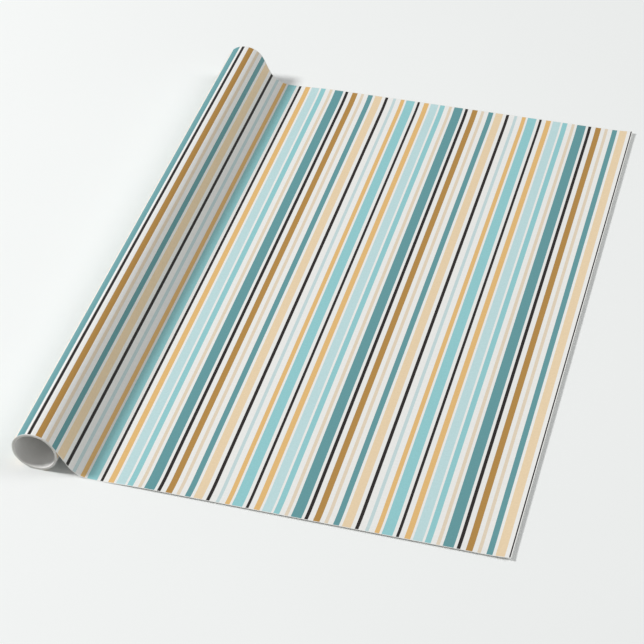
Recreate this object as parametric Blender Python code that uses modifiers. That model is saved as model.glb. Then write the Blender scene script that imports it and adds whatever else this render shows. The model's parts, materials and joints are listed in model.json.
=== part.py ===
"""A roll of gift wrap with its sheet partly drawn off, in metres, +Z up.

One sheet of printed paper is wound, print side out, on a paperboard core that lies along Y. The sheet leaves the
upper right of the roll, comes down to the table in one soft S, and lies flat from there to its free edge at +X.
The origin is on the table under the middle of the object. The wound turns are true spirals: going round from the
line where the sheet leaves, each turn lies one thickness of paper deeper than the last.
"""

import math

import bmesh
import bpy

# The sheet.
SHEET_WIDTH = 0.762
PAPER = 0.00012
REACH = 0.523  # from the roll's axis to the free edge
FREE_EDGE_WIDTH = 0.060  # the strip along the free edge that a hand picks up

# The roll.
CORE_BORE_RADIUS = 0.0236
CORE_WALL = 0.0007
WOUND_TURNS = 7
OUTER_TURN_SLACK = 0.0003  # the springy outermost turn stands this far off the step that ends the others

# The lead curve, where the sheet comes down from the roll to the table.
LEAD_OFF = math.radians(60.0)  # from the top of the roll towards +X, and so the lead curve's steepest slope
LEAD_FOOT_RADIUS = 0.028

CLEARANCE = 0.0003  # between pieces that touch on the real roll
RING_STEPS = 96
ARC_STEPS = 18

# What follows from those sizes.
CORE_RADIUS = CORE_BORE_RADIUS + CORE_WALL
WOUND_RADIUS = CORE_RADIUS + CLEARANCE + (WOUND_TURNS + 1) * PAPER
ROLL_RADIUS = WOUND_RADIUS + OUTER_TURN_SLACK + 2 * PAPER
LEAD_RADIUS = ROLL_RADIUS + CLEARANCE + PAPER


def spiral_radius(start_radius, turned):
    """The radius of a spiral that begins at the lead-off line, after turning back over the top by this angle."""
    return start_radius - PAPER * turned / math.tau


# The roll stands on its outermost turn, whose radius is taken at its lowest point and at its left side.
ROLL_Z = spiral_radius(ROLL_RADIUS, LEAD_OFF + math.pi)
LEFT_RADIUS = spiral_radius(ROLL_RADIUS, LEAD_OFF + math.pi / 2)
FREE_EDGE_X = (LEFT_RADIUS + REACH) / 2
ROLL_X = FREE_EDGE_X - REACH
HINGE_X = FREE_EDGE_X - FREE_EDGE_WIDTH


def clear_scene():
    for old in list(bpy.data.objects):
        bpy.data.objects.remove(old)


def make_collection(name):
    collection = bpy.data.collections.new(name)
    bpy.context.scene.collection.children.link(collection)
    return collection


def make_material(name, colour, roughness):
    material = bpy.data.materials.new(name)
    material.use_nodes = True
    shader = material.node_tree.nodes["Principled BSDF"]
    shader.inputs["Base Color"].default_value = (*colour, 1.0)
    shader.inputs["Roughness"].default_value = roughness
    shader.inputs["Metallic"].default_value = 0.0
    return material


def add_object(name, data, collection, material):
    made = bpy.data.objects.new(name, data)
    made.data.materials.append(material)
    collection.objects.link(made)
    return made


def seat_on_roll_axis(piece, axis):
    """Turns a piece made round its own Z so that it lies along the roll, with its own Y pointing up."""
    piece.parent = axis
    piece.rotation_euler = (math.pi / 2, 0.0, 0.0)


def spiral_points(start_radius, first, last):
    """Points along a spiral, as (x, y) round the roll's axis, from one turned angle to another."""
    steps = max(2, round(RING_STEPS * abs(last - first) / math.tau))
    points = []
    for step in range(steps + 1):
        turned = first + (last - first) * step / steps
        radius = spiral_radius(start_radius, turned)
        direction = math.pi / 2 - LEAD_OFF + turned
        points.append((radius * math.cos(direction), radius * math.sin(direction)))
    return points


def extruded_outline(name, loops, collection, material):
    """A flat outline, with any holes as further loops, as long as the sheet is wide."""
    curve = bpy.data.curves.new(name, "CURVE")
    curve.dimensions = "2D"
    curve.fill_mode = "BOTH"
    curve.extrude = SHEET_WIDTH / 2
    for loop in loops:
        spline = curve.splines.new("POLY")
        spline.points.add(len(loop) - 1)
        for point, (x, y) in zip(spline.points, loop):
            point.co = (x, y, 0.0, 1.0)
        spline.use_cyclic_u = True
    return add_object(name, curve, collection, material)


def core_tube(collection, material, axis):
    """The paperboard tube, turned from a rectangle that runs down its outer side."""
    half = SHEET_WIDTH / 2
    profile = bpy.data.meshes.new("core_tube")
    corners = [
        (CORE_RADIUS, 0.0, half),
        (CORE_RADIUS, 0.0, -half),
        (CORE_BORE_RADIUS, 0.0, -half),
        (CORE_BORE_RADIUS, 0.0, half),
    ]
    profile.from_pydata(corners, [(0, 1), (1, 2), (2, 3), (3, 0)], [])
    tube = add_object("core_tube", profile, collection, material)
    screw = tube.modifiers.new("turn", "SCREW")
    screw.steps = RING_STEPS
    screw.render_steps = RING_STEPS
    screw.use_merge_vertices = True
    screw.merge_threshold = 0.00001
    seat_on_roll_axis(tube, axis)


def wound_paper(collection, material, axis):
    """The tight inner turns as one band between two spirals, each with a step of one paper at its end."""
    outside = spiral_points(WOUND_RADIUS, 0.0, math.tau)
    inside = spiral_points(WOUND_RADIUS - WOUND_TURNS * PAPER, 0.0, math.tau)
    band = extruded_outline("wound_paper", [outside, inside], collection, material)
    seat_on_roll_axis(band, axis)


def outer_turn(collection, material, axis):
    """The outermost turn, from the lead-off line over the top and round until it would pass under itself."""
    gap = CLEARANCE / ROLL_RADIUS
    outside = spiral_points(ROLL_RADIUS, gap, math.tau - gap)
    inside = spiral_points(ROLL_RADIUS - PAPER, math.tau - gap, gap)
    turn = extruded_outline("outer_turn", [outside + inside], collection, material)
    seat_on_roll_axis(turn, axis)


def lead_profile():
    """The printed side of the lead curve as (x, z): straight off the roll, then a hollow arc down to the table."""
    start_x = ROLL_X + LEAD_RADIUS * math.sin(LEAD_OFF)
    start_z = ROLL_Z + LEAD_RADIUS * math.cos(LEAD_OFF)
    arc_drop = LEAD_FOOT_RADIUS * (1.0 - math.cos(LEAD_OFF))
    straight = (start_z - PAPER - arc_drop) / math.sin(LEAD_OFF)
    foot_x = start_x + straight * math.cos(LEAD_OFF) + LEAD_FOOT_RADIUS * math.sin(LEAD_OFF)
    points = [(start_x, start_z)]
    for step in range(ARC_STEPS + 1):
        slope = LEAD_OFF * (1.0 - step / ARC_STEPS)
        x = foot_x - LEAD_FOOT_RADIUS * math.sin(slope)
        z = PAPER + LEAD_FOOT_RADIUS * (1.0 - math.cos(slope))
        points.append((x, z))
    return points


def lead_curve(collection, material):
    """The sheet between the roll and the table: the profile swept along Y, thickened on its plain side."""
    shape = bmesh.new()
    row = [shape.verts.new((x, -SHEET_WIDTH / 2, z)) for x, z in lead_profile()]
    edges = [shape.edges.new(pair) for pair in zip(row, row[1:])]
    swept = bmesh.ops.extrude_edge_only(shape, edges=edges)["geom"]
    moved = [item for item in swept if isinstance(item, bmesh.types.BMVert)]
    bmesh.ops.translate(shape, verts=moved, vec=(0.0, SHEET_WIDTH, 0.0))
    shape.normal_update()
    if shape.faces[:][0].normal.z < 0.0:
        bmesh.ops.reverse_faces(shape, faces=shape.faces)
    mesh = bpy.data.meshes.new("lead_curve")
    shape.to_mesh(mesh)
    shape.free()
    curve = add_object("lead_curve", mesh, collection, material)
    skin = curve.modifiers.new("paper", "SOLIDIFY")
    skin.thickness = PAPER
    skin.offset = -1.0
    skin.use_even_offset = True


def flat_strip(name, start_x, end_x, origin, collection, material):
    """A flat stretch of the sheet on the table, as a thin box whose origin is at the point given."""
    shape = bmesh.new()
    bmesh.ops.create_cube(shape, size=1.0)
    bmesh.ops.scale(shape, verts=shape.verts, vec=(end_x - start_x, SHEET_WIDTH, PAPER))
    middle = ((start_x + end_x) / 2, 0.0, PAPER / 2)
    offset = [centre - point for centre, point in zip(middle, origin)]
    bmesh.ops.translate(shape, verts=shape.verts, vec=offset)
    mesh = bpy.data.meshes.new(name)
    shape.to_mesh(mesh)
    shape.free()
    strip = add_object(name, mesh, collection, material)
    strip.location = origin


def build():
    clear_scene()
    collection = make_collection("gift_wrap_roll")
    printed = make_material("printed_paper", (0.62, 0.70, 0.68), 0.55)
    plain = make_material("wound_paper_edges", (0.80, 0.80, 0.78), 0.80)
    board = make_material("white_lined_paperboard", (0.70, 0.69, 0.66), 0.85)

    axis = bpy.data.objects.new("roll_axis", None)
    axis.location = (ROLL_X, 0.0, ROLL_Z)
    collection.objects.link(axis)

    core_tube(collection, board, axis)
    wound_paper(collection, plain, axis)
    outer_turn(collection, printed, axis)
    lead_curve(collection, printed)

    foot_x = lead_profile()[-1][0]
    laid_start = foot_x + CLEARANCE
    laid_end = HINGE_X - CLEARANCE / 2
    flat_strip("laid_sheet", laid_start, laid_end, (laid_start, 0.0, 0.0), collection, printed)
    edge_start = HINGE_X + CLEARANCE / 2
    flat_strip("free_edge", edge_start, FREE_EDGE_X, (HINGE_X, 0.0, PAPER), collection, printed)


build()
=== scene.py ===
# %% [markdown]
# # A roll of gift wrap, partly drawn off
# Gift wrap is one long sheet of printed paper, wound print side out on a thin paperboard tube. Here about
# half a metre of it has been drawn off over the top of the roll. It comes down in a soft S and lies flat on
# the table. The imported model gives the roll's axis, the radii, the hinge line and the sheet's edges. This
# script builds the fine surface on them: a tube, a real spiral of thin turns, and one thin sheet with a
# white back.

import json
import math
from collections import Counter

import bpy
from mathutils import Matrix, Vector

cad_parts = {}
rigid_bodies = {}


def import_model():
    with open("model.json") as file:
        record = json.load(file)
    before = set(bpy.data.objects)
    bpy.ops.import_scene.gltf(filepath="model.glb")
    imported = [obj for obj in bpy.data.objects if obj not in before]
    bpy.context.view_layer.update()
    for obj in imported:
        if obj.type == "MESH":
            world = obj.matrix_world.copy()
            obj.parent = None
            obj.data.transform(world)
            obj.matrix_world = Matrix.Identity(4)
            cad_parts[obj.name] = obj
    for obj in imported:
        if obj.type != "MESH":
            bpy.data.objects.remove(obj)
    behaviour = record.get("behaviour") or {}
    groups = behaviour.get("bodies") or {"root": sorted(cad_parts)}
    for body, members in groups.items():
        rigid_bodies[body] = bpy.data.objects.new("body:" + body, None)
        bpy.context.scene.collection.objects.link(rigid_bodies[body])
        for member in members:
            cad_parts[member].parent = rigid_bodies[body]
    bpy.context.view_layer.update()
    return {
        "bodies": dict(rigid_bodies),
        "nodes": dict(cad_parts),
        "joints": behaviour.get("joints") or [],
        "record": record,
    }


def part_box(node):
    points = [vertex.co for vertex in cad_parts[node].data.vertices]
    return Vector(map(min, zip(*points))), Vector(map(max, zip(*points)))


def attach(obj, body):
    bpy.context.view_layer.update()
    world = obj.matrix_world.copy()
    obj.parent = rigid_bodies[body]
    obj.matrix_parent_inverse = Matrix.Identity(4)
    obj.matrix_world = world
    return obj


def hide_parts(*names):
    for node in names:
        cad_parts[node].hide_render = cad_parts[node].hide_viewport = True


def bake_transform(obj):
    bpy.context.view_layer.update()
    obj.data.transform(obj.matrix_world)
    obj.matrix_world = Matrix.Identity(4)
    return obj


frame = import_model()

# %% [markdown]
# ## Sizes that come from the model
# Nothing is measured twice. The axis and the hinge line are joints of the model, and a radius is the
# distance of a node's corners from that axis. The print goes round the roll exactly once, as far as the
# sheet moves in one turn.

# %% Read the sizes
joints = {joint["name"]: joint for joint in frame["joints"]}
AXIS = Vector(joints["roll_turn"]["pos_m"])
HINGE_X = joints["edge_lift"]["pos_m"][0]


def reach(node):
    """The least and the greatest distance of a node's corners from the roll's axis."""
    corners = [vertex.co - AXIS for vertex in frame["nodes"][node].data.vertices]
    distances = [math.hypot(corner.x, corner.z) for corner in corners]
    return min(distances), max(distances)


BORE, TUBE_OUTSIDE = reach("core_tube")
TURNS_INSIDE, TURNS_OUTSIDE = reach("wound_paper")
ROLL_OUTSIDE = AXIS.z  # the outermost turn just touches the table
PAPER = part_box("laid_sheet")[1].z
HALF_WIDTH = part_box("laid_sheet")[1].y
FREE_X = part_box("free_edge")[1].x
DRAWN_PER_RADIAN = 1.0 / frame["record"]["behaviour"]["couplings"][0]["ratio"]
PRINT_REPEAT = math.tau * DRAWN_PER_RADIAN
print(f"bore {BORE:.4f}, tube {TUBE_OUTSIDE:.4f}, turns {TURNS_INSIDE:.4f} to {TURNS_OUTSIDE:.4f}")
print(f"paper {PAPER:.5f}, half width {HALF_WIDTH:.4f}, print repeat {PRINT_REPEAT:.4f}")

# %% [markdown]
# ## Camera
# A product picture of a long sheet is taken from well back with a long lens, so that the stripes stay
# nearly parallel. The camera is placed from the roll's axis, looks down by about 41 degrees, and is turned
# a little to the left and tilted by 2 degrees. Three angles are easier to read and to change than a matrix.

# %% Camera
CAMERA_PLACE = Vector((AXIS.x + 0.7540, -1.7594, 1.5603))
LOOK_DOWN = math.radians(41.476)
LOOK_LEFT = math.radians(17.154)
TILT = math.radians(-1.888)

ahead = Vector((
    -math.sin(LOOK_LEFT) * math.cos(LOOK_DOWN),
    math.cos(LOOK_LEFT) * math.cos(LOOK_DOWN),
    -math.sin(LOOK_DOWN),
))
level = ahead.cross(Vector((0.0, 0.0, 1.0))).normalized()
upright = level.cross(ahead)
right = level * math.cos(TILT) + upright * math.sin(TILT)
up = upright * math.cos(TILT) - level * math.sin(TILT)

lens = bpy.data.cameras.new("camera")
lens.lens = 112.755
camera = bpy.data.objects.new("camera", lens)
camera.matrix_world = Matrix.Translation(CAMERA_PLACE) @ Matrix((right, up, -ahead)).transposed().to_4x4()
bpy.context.scene.collection.objects.link(camera)
bpy.context.scene.camera = camera
print("camera looks along", tuple(round(value, 3) for value in ahead))

# %% [markdown]
# ## Colours and nodes
# Paint and print colours are given as sRGB hex, as a printer would, and one function turns them into the
# linear values that the renderer needs. One more function adds a node: its settings go in by name, and each
# input is either a number or a link from another node.

# %% Colour and node helpers
bpy.context.scene.view_settings.view_transform = "Standard"


def linear(hex_colour, alpha=1.0):
    """An sRGB colour such as "649ba0" as linear red, green, blue and alpha."""
    channels = [int(hex_colour[start:start + 2], 16) / 255 for start in (0, 2, 4)]
    return [c / 12.92 if c <= 0.04045 else ((c + 0.055) / 1.055) ** 2.4 for c in channels] + [alpha]


def add_node(tree, kind, inputs=None, **settings):
    """A new node with these settings. An input is a value, or the output socket that feeds it."""
    made = tree.nodes.new(kind)
    for name, value in settings.items():
        setattr(made, name, value)
    for socket, value in (inputs or {}).items():
        if isinstance(value, bpy.types.NodeSocket):
            tree.links.new(value, made.inputs[socket])
        else:
            made.inputs[socket].default_value = value
    return made


def new_material(name, **constants):
    """A material, its tree and its Principled shader, with these constant inputs set."""
    material = bpy.data.materials.new(name)
    material.use_nodes = True
    shader = material.node_tree.nodes["Principled BSDF"]
    for socket, value in constants.items():
        shader.inputs[socket.replace("_", " ")].default_value = value
    return material, material.node_tree, shader


print("a teal in linear", [round(value, 3) for value in linear("649ba0")])

# %% [markdown]
# ## Printed gift wrap
# Gift wrap is a light paper, coated on one side with white clay and printed by flexography in flat inks.
# The coated side is smooth and nearly matt: bare paper has a roughness of about 0.6, and the ink film is a
# little glossier. The print is thirty parallel stripes, so it needs only one coordinate, the length run
# along the sheet. A colour ramp with hard steps turns that length into the stripes, from their real widths
# in millimetres. An image would do the same with more work and less sharpness.
#
# The run of the print is stored on each piece. On the sheet that is being drawn the paper slides along a
# shape that stands still, so there the sheet's own travel is added, and the stripes flow off the roll
# without stretching.

# %% Stripes, in the order they come off the roll
MM = 0.001
PAPER_WHITE, INK_BLACK, TEAL, OCHRE = "ededea", "2a2625", "649ba0", "b58a48"
BEIGE, SAND, PALE_BLUE, GOLD = "e3d4bd", "ead3af", "c5d9da", "e5bb79"
CYAN, PALE_CYAN = "93ccd0", "bfdddf"
INKS = [  # each with its width and the width of the bare paper after it, in millimetres
    (INK_BLACK, 3.7, 5.5), (OCHRE, 6.8, 5.5), (BEIGE, 3.7, 6.0), (TEAL, 6.5, 3.0), (SAND, 9.8, 4.4),
    (INK_BLACK, 3.5, 7.4), (PALE_BLUE, 3.7, 6.3), (GOLD, 5.1, 2.6), (CYAN, 11.6, 3.5), (INK_BLACK, 3.7, 5.8),
    (GOLD, 6.2, 2.5), (PALE_CYAN, 10.1, 2.7), (CYAN, 6.6, 5.7), (BEIGE, 3.7, 3.1), (TEAL, 11.9, 3.2),
]
STRIPES = [stripe for colour, width, space in INKS for stripe in ((colour, width), (PAPER_WHITE, space))]
FIRST_STRIPE_X = AXIS.x + 0.1375  # where one repeat of the stripes begins on the flat sheet
stripes_width = sum(width for colour, width in STRIPES)
print(len(STRIPES), "stripes,", round(stripes_width, 1), "mm for a repeat of", round(PRINT_REPEAT / MM, 1))

# %% Printed paper
RUN, SLIDES = "print_run", "paper_slides"  # attributes that each printed piece carries
SIDE_MARGIN = 0.7 * MM  # bare paper that the knife leaves along both long edges
END_MARGIN = 0.9 * MM  # and at the free edge, where the first black stripe is cut through

printed, tree, shader = new_material("gift_wrap_clay_coated_flexo_printed", IOR=1.5)
shader.inputs["Specular IOR Level"].default_value = 0.3
run = add_node(tree, "ShaderNodeAttribute", attribute_name=RUN)
slides = add_node(tree, "ShaderNodeAttribute", attribute_name=SLIDES)
on_sheet = add_node(tree, "ShaderNodeTexCoord", object=frame["bodies"]["sheet"])
travel = add_node(tree, "ShaderNodeSeparateXYZ", {0: on_sheet.outputs["Object"]})
length_run = add_node(tree, "ShaderNodeMath", {
    0: slides.outputs["Fac"], 1: travel.outputs["X"], 2: run.outputs["Fac"]}, operation="MULTIPLY_ADD")
repeats = add_node(tree, "ShaderNodeMath", {0: length_run.outputs[0], 1: PRINT_REPEAT}, operation="DIVIDE")
share = add_node(tree, "ShaderNodeMath", {0: repeats.outputs[0]}, operation="FRACT")

ramp_node = add_node(tree, "ShaderNodeValToRGB", {"Fac": share.outputs[0]})
ramp = ramp_node.color_ramp
ramp.interpolation = "CONSTANT"
begun = 0.0
for number, (colour, width) in enumerate(STRIPES):
    stop = ramp.elements[0] if number == 0 else ramp.elements.new(begun / stripes_width)
    stop.position = begun / stripes_width
    stop.color = linear(colour, 0.0 if colour == PAPER_WHITE else 1.0)  # alpha says where there is ink
    begun += width
ramp.elements.remove(ramp.elements[-1])  # the ramp's own last stop, at 1

here = add_node(tree, "ShaderNodeTexCoord")
across = add_node(tree, "ShaderNodeSeparateXYZ", {0: here.outputs["Object"]})
from_middle = add_node(tree, "ShaderNodeMath", {0: across.outputs["Y"]}, operation="ABSOLUTE")
side_bare = add_node(tree, "ShaderNodeMath", {
    0: from_middle.outputs[0], 1: HALF_WIDTH - SIDE_MARGIN}, operation="GREATER_THAN")
end_bare = add_node(tree, "ShaderNodeMath", {
    0: length_run.outputs[0], 1: FREE_X - FIRST_STRIPE_X - END_MARGIN}, operation="GREATER_THAN")
bare = add_node(tree, "ShaderNodeMath", {
    0: side_bare.outputs[0], 1: end_bare.outputs[0]}, operation="MAXIMUM")
ink = add_node(tree, "ShaderNodeMix", {
    0: bare.outputs[0], 6: ramp_node.outputs["Color"], 7: linear(PAPER_WHITE)}, data_type="RGBA")

MOTTLE_SIZE = 2.5 * MM  # patches in the ink film
mottle = add_node(tree, "ShaderNodeTexNoise", {
    "Vector": here.outputs["Object"], "Scale": 1 / MOTTLE_SIZE, "Detail": 3.0})
film = add_node(tree, "ShaderNodeMapRange", {
    "Value": mottle.outputs["Fac"], "From Min": 0.3, "From Max": 0.7, "To Min": 0.97, "To Max": 1.03})
printed_colour = add_node(tree, "ShaderNodeVectorMath", {
    0: ink.outputs[2], "Scale": film.outputs["Result"]}, operation="SCALE")
tree.links.new(printed_colour.outputs["Vector"], shader.inputs["Base Color"])

gloss = add_node(tree, "ShaderNodeMapRange", {
    "Value": ramp_node.outputs["Alpha"], "To Min": 0.62, "To Max": 0.50})
tree.links.new(gloss.outputs["Result"], shader.inputs["Roughness"])

TOOTH_SIZE = 0.8 * MM  # fibres under the clay, drawn coarser than they are so that they show
fibres = add_node(tree, "ShaderNodeTexNoise", {
    "Vector": here.outputs["Object"], "Scale": 1 / TOOTH_SIZE, "Detail": 4.0})
tooth = add_node(tree, "ShaderNodeBump", {
    "Height": fibres.outputs["Fac"], "Strength": 0.25, "Distance": 0.02 * MM})
tree.links.new(tooth.outputs["Normal"], shader.inputs["Normal"])
print("stops in the ramp", len(ramp.elements))

# %% [markdown]
# ## Plain paper back
# The other side is the bare sheet: bleached fibres, no coating and no ink. It is a little softer and
# rougher than the coated side. Long fibres lie mostly along the web, so the noise is stretched along the
# sheet. The same finish serves the cut edges, which are only a tenth of a millimetre thick.

# %% Plain paper
plain, tree, shader = new_material("uncoated_bleached_paper", IOR=1.5)
shader.inputs["Specular IOR Level"].default_value = 0.25
here = add_node(tree, "ShaderNodeTexCoord")
FIBRE_LENGTH, FIBRE_WIDTH = 2.4 * MM, 0.4 * MM  # drawn ten times as coarse as they are, so that they show
along_web = add_node(tree, "ShaderNodeMapping", {
    "Vector": here.outputs["Object"], "Scale": (1 / FIBRE_LENGTH, 1 / FIBRE_WIDTH, 1 / FIBRE_LENGTH)})
formation = add_node(tree, "ShaderNodeTexNoise", {
    "Vector": along_web.outputs["Vector"], "Scale": 1.0, "Detail": 4.0})
shade = add_node(tree, "ShaderNodeValToRGB", {"Fac": formation.outputs["Fac"]})
shade.color_ramp.elements[0].color = linear("eae9e5")
shade.color_ramp.elements[1].color = linear("f6f5f2")
tree.links.new(shade.outputs["Color"], shader.inputs["Base Color"])
roughness = add_node(tree, "ShaderNodeMapRange", {
    "Value": formation.outputs["Fac"], "To Min": 0.68, "To Max": 0.80})
tree.links.new(roughness.outputs["Result"], shader.inputs["Roughness"])
tooth = add_node(tree, "ShaderNodeBump", {
    "Height": formation.outputs["Fac"], "Strength": 0.3, "Distance": 0.03 * MM})
tree.links.new(tooth.outputs["Normal"], shader.inputs["Normal"])
print("plain paper made")

# %% [markdown]
# ## Core board and its liner
# The core is spiral-wound: narrow plies of board are glued round a rod at an angle, and the last ply,
# inside, is a smooth white liner. The cut end shows the plies as fine lines, so there the noise is
# stretched round the tube by feeding it the distance from the axis. The liner is a smooth white kraft
# paper.

# %% Core board
board, tree, shader = new_material("spiral_wound_paperboard_knife_cut", IOR=1.5, Roughness=0.85)
shader.inputs["Specular IOR Level"].default_value = 0.2
here = add_node(tree, "ShaderNodeTexCoord")
from_axis = add_node(tree, "ShaderNodeVectorMath", {
    0: here.outputs["Object"], 1: tuple(AXIS)}, operation="SUBTRACT")
end_plane = add_node(tree, "ShaderNodeVectorMath", {
    0: from_axis.outputs["Vector"], 1: (1.0, 0.0, 1.0)}, operation="MULTIPLY")
depth = add_node(tree, "ShaderNodeVectorMath", {0: end_plane.outputs["Vector"]}, operation="LENGTH")
PLY = 0.25 * MM  # the depth of one ply of board
PULP_SIZE = 1.5 * MM
plies = add_node(tree, "ShaderNodeMath", {0: depth.outputs["Value"], 1: math.tau / PLY}, operation="MULTIPLY")
bands = add_node(tree, "ShaderNodeMath", {0: plies.outputs[0]}, operation="SINE")
pulp = add_node(tree, "ShaderNodeTexNoise", {
    "Vector": here.outputs["Object"], "Scale": 1 / PULP_SIZE, "Detail": 5.0})
mixed = add_node(tree, "ShaderNodeMath", {
    0: bands.outputs[0], 1: 0.2, 2: pulp.outputs["Fac"]}, operation="MULTIPLY_ADD")
grey = add_node(tree, "ShaderNodeValToRGB", {"Fac": mixed.outputs[0]})
grey.color_ramp.elements[0].color = linear("cfccc5")
grey.color_ramp.elements[1].color = linear("e4e2dc")
tree.links.new(grey.outputs["Color"], shader.inputs["Base Color"])
tooth = add_node(tree, "ShaderNodeBump", {
    "Height": mixed.outputs[0], "Strength": 0.5, "Distance": 0.05 * MM})
tree.links.new(tooth.outputs["Normal"], shader.inputs["Normal"])

liner, tree, shader = new_material("white_kraft_core_liner", IOR=1.5, Roughness=0.7)
shader.inputs["Specular IOR Level"].default_value = 0.2
here = add_node(tree, "ShaderNodeTexCoord")
CLOUD_SIZE = 4 * MM  # the faint clouds in kraft paper
pulp = add_node(tree, "ShaderNodeTexNoise", {
    "Vector": here.outputs["Object"], "Scale": 1 / CLOUD_SIZE, "Detail": 4.0})
shade = add_node(tree, "ShaderNodeValToRGB", {"Fac": pulp.outputs["Fac"]})
shade.color_ramp.elements[0].color = linear("eae9e6")
shade.color_ramp.elements[1].color = linear("f3f2f0")
tree.links.new(shade.outputs["Color"], shader.inputs["Base Color"])
tooth = add_node(tree, "ShaderNodeBump", {
    "Height": pulp.outputs["Fac"], "Strength": 0.3, "Distance": 0.05 * MM})
tree.links.new(tooth.outputs["Normal"], shader.inputs["Normal"])
print("board and liner made")

# %% [markdown]
# ## Table and light
# The paper lies on a plain, pale, matt table. The picture is high key: the main light stands far to the
# left and a little to the front, so that the roll shades the slope and the tunnel under it. A very soft
# light from behind on the right opens up the slope, and an even white surrounding fills the shadows. The
# lights are far off, so the table darkens only a little from left to right.

# %% Table
table_paint, tree, shader = new_material("matt_white_table_paint", Roughness=0.9)
shader.inputs["Specular IOR Level"].default_value = 0.1
here = add_node(tree, "ShaderNodeTexCoord")
PATCH_SIZE = 0.3
cloud = add_node(tree, "ShaderNodeTexNoise", {
    "Vector": here.outputs["Object"], "Scale": 1 / PATCH_SIZE, "Detail": 2.0})
tone = add_node(tree, "ShaderNodeValToRGB", {"Fac": cloud.outputs["Fac"]})
tone.color_ramp.elements[0].color = linear("f2f4f3")
tone.color_ramp.elements[1].color = linear("f4f6f5")
tree.links.new(tone.outputs["Color"], shader.inputs["Base Color"])

TABLE_SIZE = 14.0
TABLE_DROP = 0.05 * MM  # keeps the table's face off the paper's underside
half_table = TABLE_SIZE / 2
table_mesh = bpy.data.meshes.new("table")
table_mesh.from_pydata(
    [(x, y, -TABLE_DROP) for x, y in (
        (-half_table, -half_table), (half_table, -half_table),
        (half_table, half_table), (-half_table, half_table))],
    [], [(0, 1, 2, 3)])
table_mesh.materials.append(table_paint)
table = bpy.data.objects.new("table", table_mesh)
bpy.context.scene.collection.objects.link(table)

# %% Light
SURROUND, SURROUND_STRENGTH = "ffffff", 0.31
world = bpy.data.worlds.new("white_room")
world.use_nodes = True
background = world.node_tree.nodes["Background"]
background.inputs["Color"].default_value = linear(SURROUND)
background.inputs["Strength"].default_value = SURROUND_STRENGTH
bpy.context.scene.world = world

for name, size, watts, place in (
        ("main_light", 1.2, 254.0, (-4.4, -0.85, 3.9)),
        ("fill_light", 2.8, 78.0, (3.6, 1.1, 4.0))):
    light = bpy.data.lights.new(name, "AREA")
    light.shape = "DISK"
    light.size = size
    light.energy = watts
    lamp = bpy.data.objects.new(name, light)
    lamp.location = place
    lamp.rotation_euler = (-lamp.location).to_track_quat("-Z", "Y").to_euler()
    bpy.context.scene.collection.objects.link(lamp)
    print(name, size, "m across,", watts, "W")

# %% [markdown]
# ## A grid of points becomes a mesh
# Every piece here is a sheet or a tube, which is a grid: columns that follow the profile, and rows along
# the roll. One helper joins the columns with quads. A closed grid joins its last column to its first, and a
# ring-shaped profile joins its last row to its first as well. The print's run is stored on the face
# corners, because round a closed roll the last quad has to run on to the next repeat. An edge that only one
# quad uses is a cut edge. It is marked sharp, or smooth shading would round it off across the whole quad.

# %% Grid helper
def grid_mesh(name, columns, runs=None, slides=0.0, closed=False, ring_profile=False):
    """A mesh of quads from columns of points. runs is the print's run at each column, one more if closed."""
    tall = len(columns[0])
    count = len(columns)
    quads, quad_runs = [], []
    for col in range(count if closed else count - 1):
        here, after = col * tall, (col + 1) % count * tall
        for row in range(tall if ring_profile else tall - 1):
            above = (row + 1) % tall
            quads.append((here + row, after + row, after + above, here + above))
            if runs:
                quad_runs += [runs[col], runs[col + 1], runs[col + 1], runs[col]]
    mesh = bpy.data.meshes.new(name)
    mesh.from_pydata([point for column in columns for point in column], [], quads)
    if runs:
        mesh.attributes.new(RUN, "FLOAT", "CORNER").data.foreach_set("value", quad_runs)
        mesh.attributes.new(SLIDES, "FLOAT", "CORNER").data.foreach_set("value", [slides] * len(quad_runs))
    mesh.shade_smooth()
    uses = Counter(key for face in mesh.polygons for key in face.edge_keys)
    for edge in mesh.edges:
        edge.use_edge_sharp = uses[edge.key] == 1
    piece = bpy.data.objects.new(name, mesh)
    bpy.context.scene.collection.objects.link(piece)
    print(name, len(mesh.polygons), "quads")
    return piece


def along_roll(rows):
    """Places along the roll, from the near end to the far end."""
    return [HALF_WIDTH * (2 * row / (rows - 1) - 1) for row in range(rows)]


def round_axis(radius, angle, y):
    """A point at this radius, at this angle from the top of the roll towards the drawn sheet."""
    return (AXIS.x + radius * math.sin(angle), y, AXIS.z + radius * math.cos(angle))


# %% [markdown]
# ## Core tube
# The tube could be a cylinder with a hole, but its two ends are what show. So a ring-shaped profile with
# knife-soft corners is turned round the axis. The board shows on the ends and outside, and the liner covers
# the bore.

# %% Core tube
AROUND = 192
EDGE_ROUND = 0.12 * MM
half = HALF_WIDTH
profile = [
    (TUBE_OUTSIDE, -half + EDGE_ROUND), (TUBE_OUTSIDE, half - EDGE_ROUND),
    (TUBE_OUTSIDE - EDGE_ROUND, half), (BORE + EDGE_ROUND, half),
    (BORE, half - EDGE_ROUND), (BORE, -half + EDGE_ROUND),
    (BORE + EDGE_ROUND, -half), (TUBE_OUTSIDE - EDGE_ROUND, -half),
]
columns = [
    [round_axis(radius, math.tau * step / AROUND, y) for radius, y in profile] for step in range(AROUND)]
core = grid_mesh("core_tube_board", columns, closed=True, ring_profile=True)
core.data.materials.append(board)
core.data.materials.append(liner)
BORE_FACE = 4  # the fifth face of each turned strip is the bore's
for number, face in enumerate(core.data.polygons):
    face.material_index = 1 if number % len(profile) == BORE_FACE else 0
core.data.set_sharp_from_angle(angle=math.radians(30))
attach(core, "core")
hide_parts("core_tube")

# %% [markdown]
# ## Spiral liner ply
# The liner is a strip wound on at an angle, butted edge to edge, and the butt shows inside as a fine
# helical line. A painted line would do from afar. A real strip is as easy: columns that climb along the
# roll as they go round.

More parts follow.
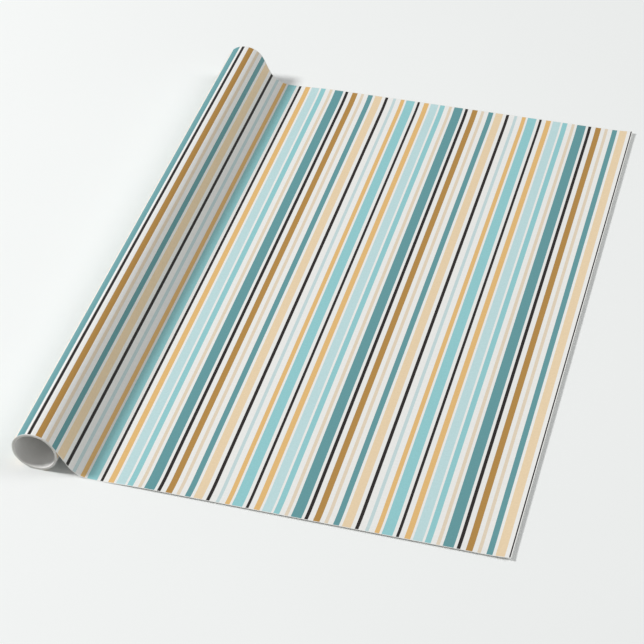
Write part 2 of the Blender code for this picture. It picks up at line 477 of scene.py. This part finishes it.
# %% Liner ply
PLY_WIDTH = 0.100
BUTT_GAP = 0.5 * MM
PLY_THICKNESS = 0.12 * MM
PLY_SUNK = 0.02 * MM  # glued into the board by this much
STEPS_A_TURN = 64
first_turn, last_turn = 0.01, 2 * HALF_WIDTH / PLY_WIDTH + 0.98  # cut off square at both ends of the tube
steps = round((last_turn - first_turn) * STEPS_A_TURN)
columns = []
for step in range(steps + 1):
    turn = first_turn + (last_turn - first_turn) * step / steps
    start = -HALF_WIDTH + PLY_WIDTH * (turn - 1.0)
    low, high = (min(max(y, -HALF_WIDTH), HALF_WIDTH) for y in (start + BUTT_GAP, start + PLY_WIDTH))
    columns.append([round_axis(BORE + PLY_SUNK, math.tau * turn, y) for y in (low, high)])
ply = grid_mesh("core_liner_ply", columns)
ply.data.materials.append(liner)
thick = ply.modifiers.new("ply", "SOLIDIFY")
thick.thickness = PLY_THICKNESS
thick.offset = -1.0  # towards the axis
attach(ply, "core")

# %% [markdown]
# ## Wound turns
# Under the outermost turn the sheet goes on for seven more. They are modelled as what they are: one strip
# on a true spiral, printed outside and white inside, with a hair of air between the turns that shows on the
# ends of the roll. Solidify gives the strip its thickness towards the axis, and puts plain paper on the
# back and on the cut edges.

# %% Wound turns
LEAD_OFF = math.radians(60.0)  # where the sheet leaves the roll, from its top
AIR = 0.15  # the share of each turn's depth that is air
TURN_STEPS = 128


def paper_thickness(piece, thickness=PAPER):
    """Gives a printed sheet its thickness on the plain side."""
    piece.data.materials.append(printed)
    piece.data.materials.append(plain)
    skin = piece.modifiers.new("paper", "SOLIDIFY")
    skin.thickness = thickness
    skin.offset = -1.0
    skin.material_offset = 1
    skin.material_offset_rim = 1


wound_turns = round((TURNS_OUTSIDE - TURNS_INSIDE) / PAPER) - 1
steps = wound_turns * TURN_STEPS
columns, runs = [], []
for step in range(steps + 1):
    turned = math.tau * wound_turns * step / steps
    radius = TURNS_OUTSIDE - PAPER * turned / math.tau
    columns.append([round_axis(radius, LEAD_OFF - turned, y) for y in along_roll(2)])
    runs.append(-DRAWN_PER_RADIAN * turned)
turns = grid_mesh("wound_turns", columns[::-1], runs[::-1])
paper_thickness(turns, PAPER * (1.0 - AIR))
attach(turns, "roll")
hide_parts("wound_paper")

# %% [markdown]
# ## The path of the drawn sheet
# The paper leaves the roll along its tangent, goes straight down, and turns flat in one hollow arc. The arc
# ends where the model's flat sheet begins. The print's run is the length along that path, so a stripe is as
# wide on the roll as it is on the table. Only on the straight it is taken a little short, because a real
# sheet sags there and shows its stripes a little wider.

# %% Path from the roll to the table
TOUCH_BACK = math.radians(4.0)  # how far the sheet still hugs the roll before it leaves
HUG_SUNK = 0.03 * MM  # its first line lies this deep in the outermost turn, so that no step shows
FOOT_RADIUS = 0.028
PRINT_SHORT = 3.2 * MM  # what the straight is taken short by
leave = Vector(round_axis(ROLL_OUTSIDE, LEAD_OFF, 0.0))
arc_drop = FOOT_RADIUS * (1.0 - math.cos(LEAD_OFF))
straight = (leave.z - PAPER - arc_drop) / math.sin(LEAD_OFF)
foot_x = leave.x + straight * math.cos(LEAD_OFF) + FOOT_RADIUS * math.sin(LEAD_OFF)
arc_run = FOOT_RADIUS * LEAD_OFF
straight_run = straight - PRINT_SHORT
run_at_leave = foot_x - FIRST_STRIPE_X - arc_run - straight_run
print(f"foot {foot_x:.4f}, run where the sheet leaves the roll {run_at_leave:.4f}")

path = []  # x, z and the print's run
HUG_STEPS, STRAIGHT_STEPS, ARC_STEPS = 3, 8, 24
for step in range(HUG_STEPS):
    back = TOUCH_BACK * (1 - step / HUG_STEPS)
    sunk = HUG_SUNK * (1 - step / HUG_STEPS)
    x, _, z = round_axis(ROLL_OUTSIDE - sunk, LEAD_OFF - back, 0.0)
    path.append((x, z, run_at_leave - DRAWN_PER_RADIAN * back))
for step in range(STRAIGHT_STEPS):
    gone = step / STRAIGHT_STEPS
    path.append((
        leave.x + gone * straight * math.cos(LEAD_OFF), leave.z - gone * straight * math.sin(LEAD_OFF),
        run_at_leave + gone * straight_run))
for step in range(ARC_STEPS):
    slope = LEAD_OFF * (1 - step / ARC_STEPS)
    path.append((
        foot_x - FOOT_RADIUS * math.sin(slope), PAPER + FOOT_RADIUS * (1 - math.cos(slope)),
        foot_x - FIRST_STRIPE_X - FOOT_RADIUS * slope))
print(len(path), "points down to the foot")

# %% [markdown]
# ## Outermost turn
# The outermost turn is springy and stands a little off the others. The print fits once round it, so it is a
# closed ring whose last quad runs on into the next repeat. It turns with the roll, and the stripes meet
# those of the drawn sheet at every angle.

# %% Outermost turn
RING_STEPS = 240
angles = [LEAD_OFF + math.tau * step / RING_STEPS for step in range(RING_STEPS + 1)]
columns = [[round_axis(ROLL_OUTSIDE, angle, y) for y in along_roll(2)] for angle in angles[:-1]]
runs = [run_at_leave + DRAWN_PER_RADIAN * (angle - LEAD_OFF) for angle in angles]
ring = grid_mesh("outermost_turn", columns, runs, closed=True)
paper_thickness(ring)
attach(ring, "roll")
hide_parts("outer_turn")

# %% [markdown]
# ## Sheet on the table
# A sheet that has just come off a roll doesn't lie quite flat: its long edges and its free edge stand off
# the table by a millimetre or two, and the shadow under them is what the eye reads as an edge. The lift is
# a smooth formula of the place on the sheet. The slope isn't quite straight along the roll either: towards
# its far end it hangs in by three millimetres more. The print slides along the mesh as the sheet moves.

# %% Drawn sheet
EDGE_LIFT, EDGE_WIDTH = 2.2 * MM, 0.030
FREE_LIFT, FREE_WIDTH = 3.4 * MM, 0.045
SETTLE = 0.060  # how far past the foot the long edges begin to lift
SLOPE_SAG = 3.0 * MM  # how much further the slope hangs in towards the roll at its far end
ROWS = 61


def ease(value):
    """Goes smoothly from 0 to 1 as value does."""
    value = min(max(value, 0.0), 1.0)
    return value * value * (3 - 2 * value)


def lift(x, y):
    """How far the laid sheet stands off the table."""
    side = min(max((abs(y) - HALF_WIDTH + EDGE_WIDTH) / EDGE_WIDTH, 0.0), 1.0)
    end = min(max((x - FREE_X + FREE_WIDTH) / FREE_WIDTH, 0.0), 1.0)
    return math.hypot(EDGE_LIFT * side ** 2 * ease((x - foot_x) / SETTLE), FREE_LIFT * end ** 2)


def sag(run, y):
    """How far the slope hangs in towards the roll: nothing at its near end, its top or its foot."""
    gone = (run - path[0][2]) / (path[-1][2] - path[0][2])
    return SLOPE_SAG * math.sin(math.pi * gone) ** 2 * ease((y / HALF_WIDTH + 1) / 2)


def rows_near_edges():
    """Places along the roll, closer together near both long edges, where the sheet curls."""
    return [HALF_WIDTH * math.sin(math.pi / 2 * place / HALF_WIDTH) for place in along_roll(ROWS)]


FLAT_STEPS = 80
flat_places = [foot_x + (HINGE_X - foot_x) * step / FLAT_STEPS for step in range(FLAT_STEPS + 1)]
columns = [[(x - sag(run, y), y, z) for y in rows_near_edges()] for x, z, run in path]
columns += [[(x, y, PAPER + lift(x, y)) for y in rows_near_edges()] for x in flat_places]
runs = [run - x for x, z, run in path] + [-FIRST_STRIPE_X] * len(flat_places)
drawn = grid_mesh("drawn_sheet", columns, runs, slides=1.0)
paper_thickness(drawn)
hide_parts("lead_curve", "laid_sheet")
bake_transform(drawn)

# %% [markdown]
# ## Free edge
# The last strip is what a hand picks up. It is a piece of its own that starts where the drawn sheet ends,
# with the same lift and the same print, so it curls up off the table towards its edge.

# %% Free edge
FLAP_STEPS, FLAP_BEND = 24, 0.030
flap_places = [HINGE_X + (FREE_X - HINGE_X) * step / FLAP_STEPS for step in range(FLAP_STEPS + 1)]
columns = [[(x, y, PAPER + lift(x, y)) for y in rows_near_edges()] for x in flap_places]
flap = grid_mesh("free_edge_flap", columns, [x - FIRST_STRIPE_X for x in flap_places])
paper_thickness(flap)
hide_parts("free_edge")
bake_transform(flap)
